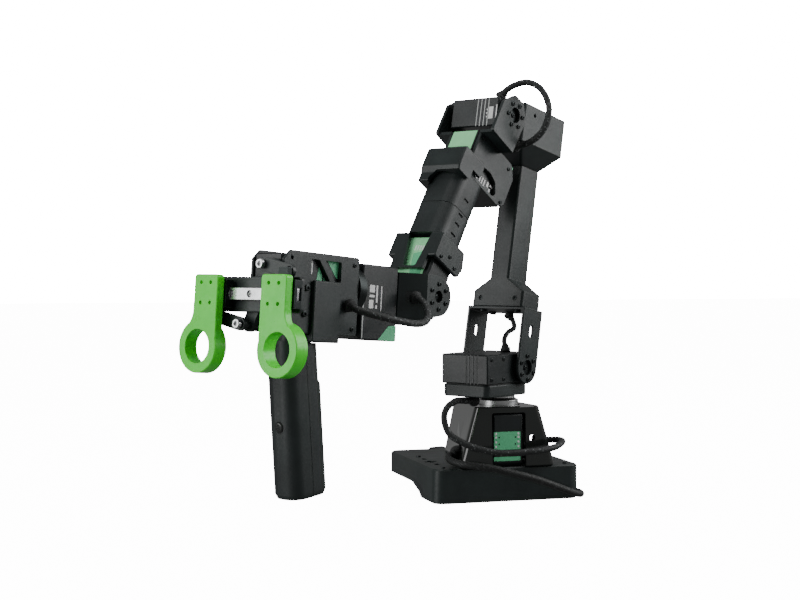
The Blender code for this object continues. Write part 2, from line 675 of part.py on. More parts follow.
def main():
    clear_scene()
    paint = {
        "black": material("satin_black", (0.030, 0.037, 0.037), 0.42),
        "satin": material("soft_black", (0.036, 0.044, 0.044), 0.48),
        "gloss": material("gloss_black", (0.008, 0.009, 0.009), 0.08),
        "case": material("servo_case", (0.020, 0.026, 0.028), 0.38),
        "dark_metal": material("dark_metal", (0.045, 0.052, 0.052), 0.35, 0.8),
        "steel": material("steel", (0.55, 0.56, 0.56), 0.28, 1.0),
        "chrome": material("bright_steel", (0.75, 0.76, 0.77), 0.18, 1.0),
        "green": material("green_plastic", (0.11, 0.60, 0.07), 0.38),
        "rubber": material("rubber", (0.015, 0.016, 0.016), 0.6),
        "cord": material("braided_sleeve", (0.012, 0.014, 0.014), 0.7),
        "board": material("circuit_board", (0.01, 0.09, 0.05), 0.5),
    }
    root = frame("base_frame")
    yaw = frame("yaw_axis", root, (0, 0, 0), (0, 0, ARM_YAW))
    arm = frame("shoulder_axis", yaw, (0, 0, SHOULDER_UP), (0, ARM_LEAN, 0))
    forearm = frame("elbow_axis", arm, (ELBOW_FORWARD, 0, ELBOW_UP), (0, FOREARM_PITCH - ARM_LEAN, 0))
    roll = frame("forearm_roll_axis", forearm, (0, 0, ROLL_RISE))
    wrist = frame("wrist_axis", roll, (FOREARM_LENGTH, 0, 0), (0, HAND_PITCH - FOREARM_PITCH, 0))
    hand = frame("hand_roll_axis", wrist)
    build_base(root, paint)
    build_shroud(root, paint)
    build_shoulder(yaw, paint)
    build_upper_arm(arm, paint)
    build_forearm(forearm, paint)
    build_tube(roll, paint)
    build_wrist(wrist, paint)
    build_hand(hand, paint)
    build_crank(hand, paint)
    build_slides(hand, paint)
    build_leads(paint)
    build_coil(root, paint)


main()
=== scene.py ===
import json
import math

import bmesh
import bpy
import numpy as np
from mathutils import Matrix, Vector


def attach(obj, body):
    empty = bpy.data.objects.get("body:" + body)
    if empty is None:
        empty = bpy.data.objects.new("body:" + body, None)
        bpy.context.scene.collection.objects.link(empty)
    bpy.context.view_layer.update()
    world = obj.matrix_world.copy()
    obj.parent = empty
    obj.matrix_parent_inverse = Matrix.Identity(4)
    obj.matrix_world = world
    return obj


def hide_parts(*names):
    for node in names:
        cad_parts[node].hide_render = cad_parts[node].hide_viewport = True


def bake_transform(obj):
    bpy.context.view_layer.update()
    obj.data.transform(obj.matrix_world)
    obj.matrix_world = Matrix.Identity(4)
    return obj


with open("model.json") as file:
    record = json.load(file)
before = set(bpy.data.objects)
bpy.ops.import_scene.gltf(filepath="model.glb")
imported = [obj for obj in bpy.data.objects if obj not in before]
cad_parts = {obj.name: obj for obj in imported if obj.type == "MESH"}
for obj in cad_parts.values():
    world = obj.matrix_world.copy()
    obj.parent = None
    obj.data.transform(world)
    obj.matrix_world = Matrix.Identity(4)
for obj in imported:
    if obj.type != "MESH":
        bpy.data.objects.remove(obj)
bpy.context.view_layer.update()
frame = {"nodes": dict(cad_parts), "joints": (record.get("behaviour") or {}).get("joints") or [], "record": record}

MM = 0.001
JOINTS = {joint["name"]: joint for joint in frame["joints"]}
TAU = 2 * math.pi
SIDES = ((1, "right"), (-1, "left"))

# ---------------------------------------------------------------- camera

# Its place in metres, its heading from +Y in degrees and its lens in millimetres.
CAMERA_PLACE = (0.980, -0.366, 0.165)
CAMERA_HEADING = 73.4
CAMERA_LENS = 65.5
SENSOR_WIDTH = 36.0
HORIZON_SHIFT = -0.041


def make_camera():
    data = bpy.data.cameras.new("camera")
    data.lens = CAMERA_LENS
    data.sensor_width = SENSOR_WIDTH
    data.shift_y = HORIZON_SHIFT
    data.clip_start = 0.05
    data.clip_end = 20.0
    camera = bpy.data.objects.new("camera", data)
    bpy.context.scene.collection.objects.link(camera)
    camera.location = CAMERA_PLACE
    camera.rotation_euler = (math.radians(90), 0, math.radians(CAMERA_HEADING))
    bpy.context.scene.camera = camera


make_camera()

# ---------------------------------------------------------------- joint frames


def axes_at(origin, x_axis, y_axis):
    """The matrix of a frame with its origin, its x axis and its y axis given."""
    x = Vector(x_axis).normalized()
    y = Vector(y_axis).normalized()
    made = Matrix((x, y, x.cross(y))).transposed().to_4x4()
    made.translation = Vector(origin)
    return made


# The column leans back at rest, by ARM_LEAN degrees about the pitch axis. The roll joint lies
# ROLL_START millimetres ahead of the elbow along the forearm.
ARM_LEAN = -11.0
ROLL_START = 60.0
PITCH = Vector(JOINTS["shoulder_pitch"]["axis"])
BASE = Matrix.Identity(4)
YAW = axes_at((0, 0, 0), PITCH.cross(Vector((0, 0, 1))), PITCH)
LEAN = Matrix.Rotation(math.radians(ARM_LEAN), 4, "Y")
ARM = Matrix.Translation(JOINTS["shoulder_pitch"]["pos_m"]) @ YAW @ LEAN
FOREARM = axes_at(JOINTS["elbow_pitch"]["pos_m"], JOINTS["forearm_roll"]["axis"], PITCH)
ROLL = axes_at(JOINTS["forearm_roll"]["pos_m"], JOINTS["forearm_roll"]["axis"], PITCH)
ROLL = ROLL @ Matrix.Translation((-ROLL_START * MM, 0, 0))
HAND = axes_at(JOINTS["wrist_pitch"]["pos_m"], JOINTS["hand_roll"]["axis"], PITCH)

# ---------------------------------------------------------------- shaders


class Shader:
    """A material with its Principled shader, and short ways to add nodes to it."""

    def __init__(self, name, roughness=0.4, metallic=0.0, **sockets):
        self.material = bpy.data.materials.new(name)
        self.material.use_nodes = True
        self.tree = self.material.node_tree
        self.main = self.tree.nodes["Principled BSDF"]
        self.main.inputs["Roughness"].default_value = roughness
        self.main.inputs["Metallic"].default_value = metallic
        for socket, value in sockets.items():
            self.main.inputs[socket.replace("_", " ")].default_value = value
        self.place = self.add("ShaderNodeTexCoord").outputs["Object"]

    def add(self, kind, inputs=(), **settings):
        node = self.tree.nodes.new(kind)
        for key, value in settings.items():
            setattr(node, key, value)
        for socket, value in dict(inputs).items():
            self.feed(node.inputs[socket], value)
        return node

    def feed(self, socket, value):
        if isinstance(value, bpy.types.NodeSocket):
            self.tree.links.new(value, socket)
        else:
            socket.default_value = value

    def stretched(self, scale, turned=(0, 0, 0)):
        inputs = {"Vector": self.place, "Scale": scale, "Rotation": turned}
        return self.add("ShaderNodeMapping", inputs).outputs["Vector"]

    def noise(self, scale, detail=3.0, rough=0.55, place=None):
        inputs = {"Vector": place or self.place, "Scale": scale, "Detail": detail, "Roughness": rough}
        return self.add("ShaderNodeTexNoise", inputs).outputs["Fac"]

    def cells(self, scale):
        inputs = {"Vector": self.place, "Scale": scale}
        return self.add("ShaderNodeTexVoronoi", inputs).outputs["Distance"]

    def attribute(self, name):
        return self.add("ShaderNodeAttribute", attribute_name=name).outputs["Fac"]

    def combine(self, operation, first, second, clamp=False):
        settings = {"operation": operation, "use_clamp": clamp}
        return self.add("ShaderNodeMath", {0: first, 1: second}, **settings).outputs[0]

    def spread(self, value, low, high, to_low, to_high):
        inputs = {"Value": value, "From Min": low, "From Max": high}
        inputs |= {"To Min": to_low, "To Max": to_high}
        return self.add("ShaderNodeMapRange", inputs).outputs["Result"]

    def blend(self, factor, first, second):
        node = self.add("ShaderNodeMix", data_type="RGBA")
        for index, value in ((0, factor), (6, first), (7, second)):
            if not isinstance(value, bpy.types.NodeSocket) and index:
                value = (*value, 1.0)
            self.feed(node.inputs[index], value)
        return node.outputs[2]

    def colour(self, value):
        self.feed(self.main.inputs["Base Color"], value)

    def rough(self, value):
        self.feed(self.main.inputs["Roughness"], value)

    def bump(self, height, distance, strength):
        inputs = {"Height": height, "Distance": distance, "Strength": strength}
        self.feed(self.main.inputs["Normal"], self.add("ShaderNodeBump", inputs).outputs["Normal"])

    def edges(self, radius):
        """1 along the edges of the mesh, 0 on its flats."""
        soft = self.add("ShaderNodeBevel", {"Radius": radius}, samples=4).outputs["Normal"]
        true = self.add("ShaderNodeNewGeometry").outputs["Normal"]
        dot = self.add("ShaderNodeVectorMath", {0: soft, 1: true}, operation="DOT_PRODUCT")
        return self.spread(dot.outputs["Value"], 0.98, 0.80, 0.0, 1.0)


def moulded(name, colour, roughness, grain=0.00004, grain_size=2600.0, edge_highlight_strength=0.5, **sockets):
    """Moulded plastic: cloudy tone, pale specks, fine grain, and a painted highlight that makes its edges a little
    lighter in patches.
    """
    made = Shader(name, roughness, **sockets)
    cloud = made.noise(45.0, 4.0)
    pale = tuple(min(1.0, c * 1.22 + 0.004) for c in colour)
    deep = tuple(c * 0.80 for c in colour)
    tone = made.blend(made.spread(cloud, 0.35, 0.65, 0.0, 1.0), deep, pale)
    # Painted highlight: the edges are painted lighter in patches, standing in for the light they catch.
    edge_highlight_mask = made.combine("MULTIPLY", made.edges(0.0007), made.noise(420.0, 2.0))
    painted_edge_highlight = tuple(min(1.0, c * 1.9 + 0.030) for c in colour)
    tone = made.blend(made.combine("MULTIPLY", edge_highlight_mask, edge_highlight_strength, True), tone, painted_edge_highlight)
    specks = made.spread(made.cells(900.0), 0.055, 0.03, 0.0, 0.35)
    made.colour(made.blend(specks, tone, tuple(min(1.0, c * 2.4 + 0.02) for c in colour)))
    smear = made.noise(14.0, 5.0, 0.6, made.stretched((1.0, 0.6, 2.2), (0.3, 0.2, 0.5)))
    made.rough(made.spread(smear, 0.3, 0.7, roughness - 0.06, roughness + 0.09))
    made.bump(made.noise(grain_size, 2.0, 0.6), grain, 0.6)
    return made.material


def gloss_black():
    """The shroud's polished plastic, with long faint scuffs."""
    made = Shader("shroud_gloss", 0.10, Coat_Weight=0.6, Coat_Roughness=0.05)
    cloud = made.noise(30.0, 3.0)
    tone = made.blend(cloud, (0.010, 0.012, 0.011), (0.018, 0.021, 0.019))
    scuffs = made.noise(60.0, 6.0, 0.7, made.stretched((1.0, 1.0, 14.0), (0.4, 0.7, 0.0)))
    marks = made.spread(scuffs, 0.66, 0.76, 0.0, 0.25)
    made.colour(made.blend(marks, tone, (0.05, 0.055, 0.05)))
    made.rough(made.spread(scuffs, 0.4, 0.75, 0.08, 0.20))
    made.bump(made.noise(260.0, 2.0), 0.00004, 0.25)
    return made.material


def anodised(name, colour, roughness):
    """Anodised metal: faint lines across Y, and a painted highlight that brightens its edges."""
    made = Shader(name, roughness, 0.75)
    rings = made.noise(700.0, 3.0, 0.6, made.stretched((1.0, 4.0, 1.0)))
    tone = made.blend(rings, tuple(c * 0.75 for c in colour), tuple(c * 1.3 for c in colour))
    # Painted highlight: the edges are painted brighter, standing in for the light they catch.
    painted_edge_highlight = made.combine("MULTIPLY", made.edges(0.0005), 0.6)
    made.colour(made.blend(painted_edge_highlight, tone, tuple(c * 2.6 + 0.05 for c in colour)))
    made.rough(made.spread(rings, 0.3, 0.7, roughness - 0.07, roughness + 0.1))
    made.bump(rings, 0.00003, 0.5)
    return made.material


def brushed(name, colour, roughness, scale=(1.0, 30.0, 1.0)):
    """Bare metal with brush lines across the axis that scale stretches, and dull stains."""
    made = Shader(name, roughness, 1.0, Anisotropic=0.4)
    lines = made.noise(900.0, 4.0, 0.7, made.stretched(scale))
    stains = made.noise(80.0, 4.0)
    tone = made.blend(lines, tuple(c * 0.82 for c in colour), colour)
    stained = made.spread(stains, 0.55, 0.8, 0.0, 0.35)
    made.colour(made.blend(stained, tone, tuple(c * 0.6 for c in colour)))
    made.rough(made.spread(lines, 0.25, 0.75, roughness - 0.06, roughness + 0.12))
    made.bump(lines, 0.00002, 0.5)
    return made.material


def green_plastic():
    """The rings' bright plastic: slightly translucent, with a painted highlight that makes it paler along its
    edges.
    """
    made = Shader("ring_green", 0.33, Coat_Weight=0.15, Coat_Roughness=0.25, Subsurface_Weight=0.12)
    made.main.inputs["Subsurface Radius"].default_value = (0.4, 1.0, 0.3)
    made.main.inputs["Subsurface Scale"].default_value = 0.0015
    cloud = made.noise(60.0, 4.0)
    mottled = made.spread(cloud, 0.3, 0.7, 0.0, 1.0)
    tone = made.blend(mottled, (0.060, 0.840, 0.020), (0.090, 0.950, 0.034))
    # Painted highlight: the edges are painted a paler green, standing in for the light they catch.
    painted_edge_highlight = made.combine("MULTIPLY", made.edges(0.0008), 0.55)
    made.colour(made.blend(painted_edge_highlight, tone, (0.22, 1.0, 0.10)))
    made.rough(made.spread(made.noise(220.0, 4.0), 0.3, 0.7, 0.26, 0.42))
    made.bump(made.noise(2200.0, 2.0), 0.00003, 0.5)
    return made.material


def printed(name, colour, roughness=0.35):
    """Ink or foil on a label: a fine dot screen and a slight fade."""
    made = Shader(name, roughness)
    fade = made.noise(120.0, 3.0)
    dots = made.spread(made.cells(5200.0), 0.1, 0.5, 0.0, 1.0)
    tone = made.blend(fade, tuple(c * 0.86 for c in colour), tuple(min(1.0, c * 1.1) for c in colour))
    made.colour(made.blend(made.combine("MULTIPLY", dots, 0.10), tone, tuple(c * 0.7 for c in colour)))
    made.rough(made.spread(fade, 0.3, 0.7, roughness - 0.05, roughness + 0.08))
    made.bump(made.noise(1800.0, 2.0), 0.00001, 0.4)
    return made.material


def braid(name, low, high, fleck):
    """A woven sleeve: the mesh carries how high each thread lies and which ones shine."""
    made = Shader(name, 0.62)
    height = made.attribute("thread_height")
    threads = made.noise(5200.0, 2.0)
    # Painted shade and highlight: the colour runs from the first colour given, in the gaps where the threads lie
    # low, to the second on their crests.
    tone = made.blend(made.spread(height, 0.15, 0.9, 0.0, 1.0), low, high)
    tone = made.blend(made.combine("MULTIPLY", threads, 0.35), tone, tuple(c * 0.5 for c in high))
    shine = made.combine("MULTIPLY", made.attribute("thread_shine"), height)
    made.colour(made.blend(shine, tone, fleck))
    made.rough(made.spread(height, 0.0, 1.0, 0.80, 0.50))
    made.bump(threads, 0.00005, 0.7)
    return made.material


def circuit_green():
    """The lacquer of a circuit board over its tracks."""
    made = Shader("board_green", 0.4, Coat_Weight=0.4)
    inputs = {"Vector": made.place, "Scale": 260.0, "Mortar Size": 0.06}
    tracks = made.add("ShaderNodeTexBrick", inputs).outputs["Fac"]
    made.colour(made.blend(tracks, (0.008, 0.075, 0.040), (0.02, 0.14, 0.07)))
    made.bump(tracks, 0.00004, 0.4)
    return made.material


PAINT = {
    # The servo case and the rubber set their own strength for the painted highlight along the edges of moulded
    # plastic.
    "satin": moulded("moulded_black", (0.0120, 0.0190, 0.0185), 0.38),
    "soft": moulded("soft_touch_black", (0.0105, 0.0160, 0.0160), 0.44, grain_size=3400.0),
    "case": moulded("servo_case_black", (0.0090, 0.0125, 0.0130), 0.33, grain=0.00003, edge_highlight_strength=0.7),
    "gloss": gloss_black(),
    "dark_metal": anodised("dark_anodised", (0.022, 0.027, 0.027), 0.34),
    "steel": brushed("brushed_steel", (0.60, 0.61, 0.61), 0.30),
    "chrome": brushed("rail_steel", (0.80, 0.81, 0.82), 0.20, (1.0, 1.0, 30.0)),
    "green": green_plastic(),
    "rubber": moulded("rubber_black", (0.010, 0.012, 0.012), 0.62, grain=0.00008, edge_highlight_strength=0.2),
    "board": circuit_green(),
    "mint": printed("label_mint", (0.150, 0.640, 0.320)),
    "pale_mint": printed("label_pale_mint", (0.340, 0.900, 0.450)),
    "white": printed("label_white", (0.86, 0.87, 0.86)),
    "black_ink": printed("label_black", (0.016, 0.019, 0.019), 0.28),
    "inlay": printed("groove_grey", (0.46, 0.48, 0.47), 0.30),
    # For the two sleeves, the first colour is painted shade in the gaps between threads and the second a painted
    # highlight on their crests.
    "sleeve": braid("woven_sleeve", (0.004, 0.005, 0.005), (0.026, 0.030, 0.030), (0.20, 0.22, 0.22)),
    "lead": braid("woven_lead", (0.006, 0.007, 0.007), (0.018, 0.021, 0.021), (0.045, 0.050, 0.050)),
}

# ---------------------------------------------------------------- outlines and solids


def rounded(corners, steps=4):
    """The closed outline through corners (u, v, r), each one turned into an arc of radius r."""
    outline = []
    for i, (u, v, radius) in enumerate(corners):
        corner = Vector((u, v))
        if radius <= 0:
            outline.append((u, v))
            continue
        back = (Vector(corners[i - 1][:2]) - corner).normalized()
        ahead = (Vector(corners[(i + 1) % len(corners)][:2]) - corner).normalized()
        half = back.angle(ahead) / 2
        centre = corner + (back + ahead).normalized() * (radius / math.sin(half))
        first = corner + back * (radius / math.tan(half)) - centre
        last = corner + ahead * (radius / math.tan(half)) - centre
        sweep = math.atan2(first.cross(last), first.dot(last))
        for step in range(steps + 1):
            angle = math.atan2(first.y, first.x) + sweep * step / steps
            u_place = centre.x + radius * math.cos(angle)
            outline.append((u_place, centre.y + radius * math.sin(angle)))
    return outline


def block(u_low, u_high, v_low, v_high, radius=0.3):
    ends = [(u_low, v_low), (u_high, v_low), (u_high, v_high), (u_low, v_high)]
    return rounded([(u, v, radius) for u, v in ends])


def circle(radius, count):
    angles = [TAU * i / count for i in range(count)]
    return [(radius * math.cos(angle), radius * math.sin(angle)) for angle in angles]


def placed(u, v, w, axis):
    """The point at w along the axis and at u, v across it."""
    return {"x": (w, u, v), "y": (u, w, v), "z": (u, v, w)}[axis]


def add_rings(shape, rings, at):
    """Adds the closed solid that runs through the rings, with a cap at each end."""
    rows = [[shape.verts.new(at @ (Vector(point) * MM)) for point in ring] for ring in rings]
    shape.faces.new(rows[0])
    shape.faces.new(rows[-1])
    for lower, upper in zip(rows, rows[1:]):
        for i in range(len(lower)):
            j = (i + 1) % len(lower)
            shape.faces.new((lower[i], lower[j], upper[j], upper[i]))


SHARP_PIECE_ANGLE = math.radians(32)


def object_of(name, shape, finish, body, soften=0.0):
    """Turns a bmesh into a named piece that rides on a body."""
    bmesh.ops.recalc_face_normals(shape, faces=shape.faces)
    mesh = bpy.data.meshes.new(name)
    shape.to_mesh(mesh)
    shape.free()
    mesh.shade_smooth()
    mesh.set_sharp_from_angle(angle=SHARP_PIECE_ANGLE)
    mesh.materials.append(PAINT[finish])
    made = bpy.data.objects.new(name, mesh)
    bpy.context.scene.collection.objects.link(made)
    if soften:
        bevel = made.modifiers.new("soft_edges", "BEVEL")
        bevel.width = soften * MM
        bevel.segments = 2
        bevel.limit_method = "ANGLE"
        bevel.angle_limit = math.radians(40)
    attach(made, body)
    return made


def solids(name, many, at, finish, body, soften=0.0):
    """One piece of several closed solids, each a list of rings in millimetres in the frame at."""
    shape = bmesh.new()
    for rings in many:
        add_rings(shape, rings, at)
    return object_of(name, shape, finish, body, soften)


def flat(outline, axis, low, high):
    """The two rings of a plate with this outline, from low to high along the axis."""
    return [[placed(u, v, w, axis) for u, v in outline] for w in (low, high)]


# ---------------------------------------------------------------- screws


def hexagon(radius, count):
    """count points round a hexagon whose corners lie at radius."""
    points = []
    for i in range(count):
        angle = TAU * i / count
        reach = radius * math.cos(math.pi / 6) / math.cos((angle % (TAU / 6)) - math.pi / 6)
        points.append((reach * math.cos(angle), reach * math.sin(angle)))
    return points


SCREW_SIDES = 24
SOCKET_SHARE = 0.52


def screw_rings(radius, height):
    """A socket head that stands on z = 0: rounded rim, flat top, hexagonal recess."""
    soft = min(0.25 * radius, 0.3 * height)
    rim = [(radius, 0), (radius, height - soft)]
    rim += [(radius - 0.3 * soft, height - 0.3 * soft), (radius - soft, height)]
    socket = SOCKET_SHARE * radius
    recess = [(socket + 0.12, height), (socket, height - 0.15), (socket, 0.35 * height)]
    rings = [[(u, v, z) for u, v in circle(r, SCREW_SIDES)] for r, z in rim]
    rings += [[(u, v, z) for u, v in hexagon(r, SCREW_SIDES)] for r, z in recess]
    return rings


def facing(direction):
    """The turn that takes +Z to the direction given, such as "+y" or "-x"."""
    axis = Vector([direction[1] == letter for letter in "xyz"]) * (1 if direction[0] == "+" else -1)
    return Vector((0, 0, 1)).rotation_difference(axis).to_matrix().to_4x4()


def screws(name, at, direction, places, radius, height, finish, body):
    """One piece of several screws, whose heads point in a direction of the frame at."""
    shape = bmesh.new()
    for place in places:
        stand = at @ Matrix.Translation(Vector(place) * MM) @ facing(direction)
        add_rings(shape, screw_rings(radius, height), stand)
    return object_of(name, shape, finish, body)


def ring_of(radius, count, w, start):
    """Places round a circle about the y axis, at y = w."""
    angles = [start + TAU * i / count for i in range(count)]
    return [(radius * math.cos(angle), w, radius * math.sin(angle)) for angle in angles]


# ---------------------------------------------------------------- leads


def smooth_route(points, spacing):
    """Points about spacing apart on the smooth curve through the given ones, in millimetres."""
    route = [np.array(point, float) for point in points]
    ends = [route[0] * 2 - route[1], *route, route[-1] * 2 - route[-2]]
    fine = []
    for before, start, end, after in zip(ends, ends[1:], ends[2:], ends[3:]):
        steps = max(2, round(float(np.linalg.norm(end - start)) / spacing))
        for step in range(steps):
            t = step / steps
            ahead = (end - before) * t
            bend = (2 * before - 5 * start + 4 * end - after) * t**2
            twist = (3 * start - before - 3 * end + after) * t**3
            fine.append(0.5 * (2 * start + ahead + bend + twist))
    fine.append(route[-1])
    return np.array(fine)


def turning_frames(path):
    """Two directions across the path at each of its points, carried along with no twist."""
    along = np.gradient(path, axis=0)
    along /= np.linalg.norm(along, axis=1)[:, None]
    side = np.cross(along[0], (0.3, 0.2, 0.93))
    sides = []
    for direction in along:
        side = side - direction * (side @ direction)
        side = side / np.linalg.norm(side)
        sides.append(side)
    sides = np.array(sides)
    return sides, np.cross(along, sides)


def thread_pattern(around, along, strands, cell):
    """How high the threads of a braid lie, 0 to 1, and which of their cells shine."""
    first = strands * around + along / cell
    second = strands * around - along / cell
    over = (np.floor(first) + np.floor(second)) % 2 > 0.5
    across = np.where(over, first % 1.0, second % 1.0)
    ahead = np.where(over, second % 1.0, first % 1.0)
    height = (1 - (2 * np.abs(across - 0.5)) ** 2) * (0.55 + 0.45 * np.sin(math.pi * ahead))
    cells = np.floor(first) * 12.9898 + np.floor(second) * 78.233
    chance = np.abs(np.sin(cells) * 43758.5453) % 1.0
    return height, np.where(chance > 0.93, 1.0, 0.0)


END_TAPER = 0.6
END_SHARE = 0.82


def woven(name, path, radius, finish, slot, sides=32, strands=9, cell=0.9, relief=0.16):
    """A woven sleeve along the path: a closed tube whose threads stand out by relief."""
    lengths = np.concatenate([[0], np.cumsum(np.linalg.norm(np.diff(path, axis=0), axis=1))])
    first, second = turning_frames(path)
    around = np.arange(sides) / sides
    height, shine = thread_pattern(around[None, :], lengths[:, None], strands, cell)
    reach = radius - relief * (1 - height)
    at_end = (lengths < END_TAPER) | (lengths > lengths[-1] - END_TAPER)
    reach = reach * np.where(at_end, END_SHARE, 1.0)[:, None]
    cosine, sine = np.cos(TAU * around)[None, :, None], np.sin(TAU * around)[None, :, None]
    outward = first[:, None, :] * cosine + second[:, None, :] * sine
    points = path[:, None, :] + reach[:, :, None] * outward
    count = len(path)
    index = np.arange(count * sides).reshape(count, sides)
    nearer, farther = index[:-1], index[1:]
    quads = np.stack(
        [nearer, np.roll(nearer, -1, axis=1), np.roll(farther, -1, axis=1), farther], axis=-1
    ).reshape(-1, 4)
    mesh = bpy.data.meshes.new(name)
    faces = [*quads.tolist(), index[0][::-1].tolist(), index[-1].tolist()]
    mesh.from_pydata((points.reshape(-1, 3) * MM).tolist(), [], faces)
    for label, values in (("thread_height", height), ("thread_shine", shine)):
        carried = mesh.attributes.new(label, "FLOAT", "POINT")
        carried.data.foreach_set("value", values.ravel().astype(np.float32))
    mesh.shade_smooth()
    mesh.materials.append(PAINT[finish])
    made = bpy.data.objects.new(name, mesh)
    bpy.context.scene.collection.objects.link(made)
    return made


# Each lead's diameter and route, which repeat those of the CAD lead in millimetres in the part's
# frame, then the two bodies it joins and the places between which it passes from one to the other.
LEADS = {
    "base_lead": (
        4.6,
        [(17, -24, 71.5), (22, -32, 72), (26, -41, 72.5), (27, -48, 68), (26.5, -50, 60.5)]
        + [(28, -47, 50.5), (32, -39, 44.5), (36, -28, 40), (41, -11.5, 37), (43.5, 9.5, 38)]
        + [(40, 26, 39.6), (31, 36, 42), (18, 39, 42), (8, 34, 41), (0, 27.5, 40.5)],
        ("shoulder", "base", (27, -48, 71), (27, -48, 43)),
    ),
    "shoulder_lead": (
        3.6,
        [(0, 5, 106.8), (-2, 5, 113), (-5, 9, 118), (-6, 14, 121), (-8, 14, 126), (-10, 12, 130)],
        ("shoulder", "upper_arm", (-2, 5, 109), (-9, 12, 128)),
    ),
    "elbow_lead": (
        4.6,
        [(17, -5.3, 284.5), (20, -1.9, 289.3), (23, 4.4, 293.3), (26, 12.2, 294.8), (30, 18.9, 291.1)]
        + [(33, 23, 283.9), (35, 24.4, 274.7), (35, 22.2, 264.9), (33, 17.8, 257.3), (27, 12, 252.2)]
        + [(17, 5, 250)],
        ("upper_arm", "forearm", (34, 22, 283), (34, 22, 256)),
    ),
    "hand_lead": (
        4.6,
        [(112.3, -140.5, 141.9), (118, -137, 139.3), (122.5, -130.5, 136.7), (123, -119, 133.8)]
        + [(118, -106, 131), (110.5, -94.5, 129.6), (103.5, -87, 131.5), (96.5, -84.2, 137)]
        + [(89.5, -85.2, 142.8), (82, -88.6, 146)],
        ("hand", "wrist", (122, -126, 136), (100, -86, 133)),
    ),
}

# The part of the power cable that isn't coiled, from the shroud to the coil.
CORD_ROUTE = [
    (1.5, -36.6, 32),
    (8, -40.5, 31),
    (16, -40.8, 29.5),
    (24.5, -36.5, 28.3),
    (30, -28, 27.3),
    (32.5, -16, 25.5),
    (32.5, -2, 22),
    (30.5, 14, 17.5),
    (28.5, 28, 12.5),
    (26.7, 40, 7.8),
    (24.2, 48.3, 4.7),
    (19.9, 54.7, 3.1),
    (12.2, 57.8, 2.7),
    (2, 58.2, 2.6),
    (-18, 58.3, 2.6),
    (-38, 58.4, 2.6),
    (-60, 58.4, 2.6),
    (-82, 57.6, 2.6),
    (-104, 54.5, 2.6),
    (-121, 51.0, 2.6),
    (-134, 50.0, 2.6),
]
CORD_DIAMETER = 5.0
PLUG_END = [(-136, -13.8, 4.6), (-126.5, -13.0, 4.6)]
COIL_CENTRE = (-146.0, 20.0)
COIL_OUTER = 30.0
COIL_INNER = 24.9
COIL_LAYERS = (2.6, 7.6, 12.6)
STEPS_PER_TURN = 16


def on_coil(degrees, radius, height):
    angle = math.radians(degrees)
    x, y = COIL_CENTRE
    return (x + radius * math.cos(angle), y + radius * math.sin(angle), height)


def coil_points():
    """The coil's five turns, in layers of two, two and one, and the half turn that leaves it."""
    low, middle, high = COIL_LAYERS
    turns = [(COIL_OUTER, low), (COIL_INNER, low), (COIL_INNER, middle), (COIL_OUTER, middle)]
    turns += [(COIL_INNER, high), (COIL_OUTER, high)]
    points = []
    for (radius, height), (next_radius, next_height) in zip(turns, turns[1:]):
        for step in range(STEPS_PER_TURN):
            t = step / STEPS_PER_TURN
            ease = max(0.0, (t - 0.7) / 0.3)
            ease = ease * ease * (3 - 2 * ease)
            r = radius + (next_radius - radius) * ease
            z = height + (next_height - height) * ease
            points.append(on_coil(90 + 360 * t, r, z))
    leaving = [(90, 30.0, 12.6), (115, 30.2, 12.6), (140, 30.4, 12.6), (165, 30.8, 12.4)]
    leaving += [(190, 31.4, 11.8), (212, 32.4, 10.6), (233, 33.8, 8.6), (252, 34.9, 6.4)]
    leaving += [(268, 34.9, 5.0)]
    return points + [on_coil(*place) for place in leaving]


# The tie's place round the coil, its width, and the radius of the turns that it holds.
TIE_PLACE = math.radians(200)
TIE_WIDTH = 10.0
TIE_RADIUS = 27.5


def coil_tie(name, finish, body):
    """A hook-and-loop tie round the coil's section."""
    shape = bmesh.new()
    outside = block(21.8, 33.2, 0.15, 15.6, 2.6)
    inside = block(22.7, 32.3, 0.6, 14.9, 2.2)
    half_angle = TIE_WIDTH / 2 / TIE_RADIUS
    rows = []
    for angle in (TIE_PLACE - half_angle, TIE_PLACE + half_angle):
        for loop in (outside, inside):
            ring = [on_coil(math.degrees(angle), r, z) for r, z in loop]
            rows.append([shape.verts.new(Vector(point) * MM) for point in ring])
    near_out, near_in, far_out, far_in = rows
    walls = ((near_out, far_out), (far_out, far_in), (far_in, near_in), (near_in, near_out))
    count = len(near_out)
    for i in range(count):
        j = (i + 1) % count
        for one, other in walls:
            shape.faces.new((one[i], one[j], other[j], other[i]))
    return object_of(name, shape, finish, body)


COLLAR_LENGTH = 5.5
COLLAR_SIDES = 28
RIB = 1.0
# How far the collars at a lead's two ends stand back from them, where they do.
COLLARS_BACK = {"shoulder_lead": (2.0, 1.7)}


def collar(name, points, radius, length, finish, body):
    """A ribbed strain relief round a lead, from the first of two points towards the second."""
    start, towards = (Vector(point) for point in points)
    along = (towards - start).normalized()
    turn = Vector((0, 0, 1)).rotation_difference(along).to_matrix().to_4x4()
    at = Matrix.Translation(start * MM) @ turn
    profile = [(radius + 1.5, -0.5), (radius + 1.8, 0.3), (radius + 1.8, 2.2), (radius + 1.3, 2.6)]
    place = 2.6
    while place + RIB < length:
        crest = radius + 1.3 * (1 - place / length) + 0.35
        groove = crest - 0.4
        profile += [(crest, place + 0.2), (crest, place + 0.6)]
        profile += [(groove, place + 0.8), (groove, place + RIB)]
        place += RIB
    profile.append((radius + 0.15, length))
    rings = [[(u, v, z) for u, v in circle(r, COLLAR_SIDES)] for r, z in profile]
    shape = bmesh.new()
    add_rings(shape, rings, at)
    return object_of(name, shape, finish, body)


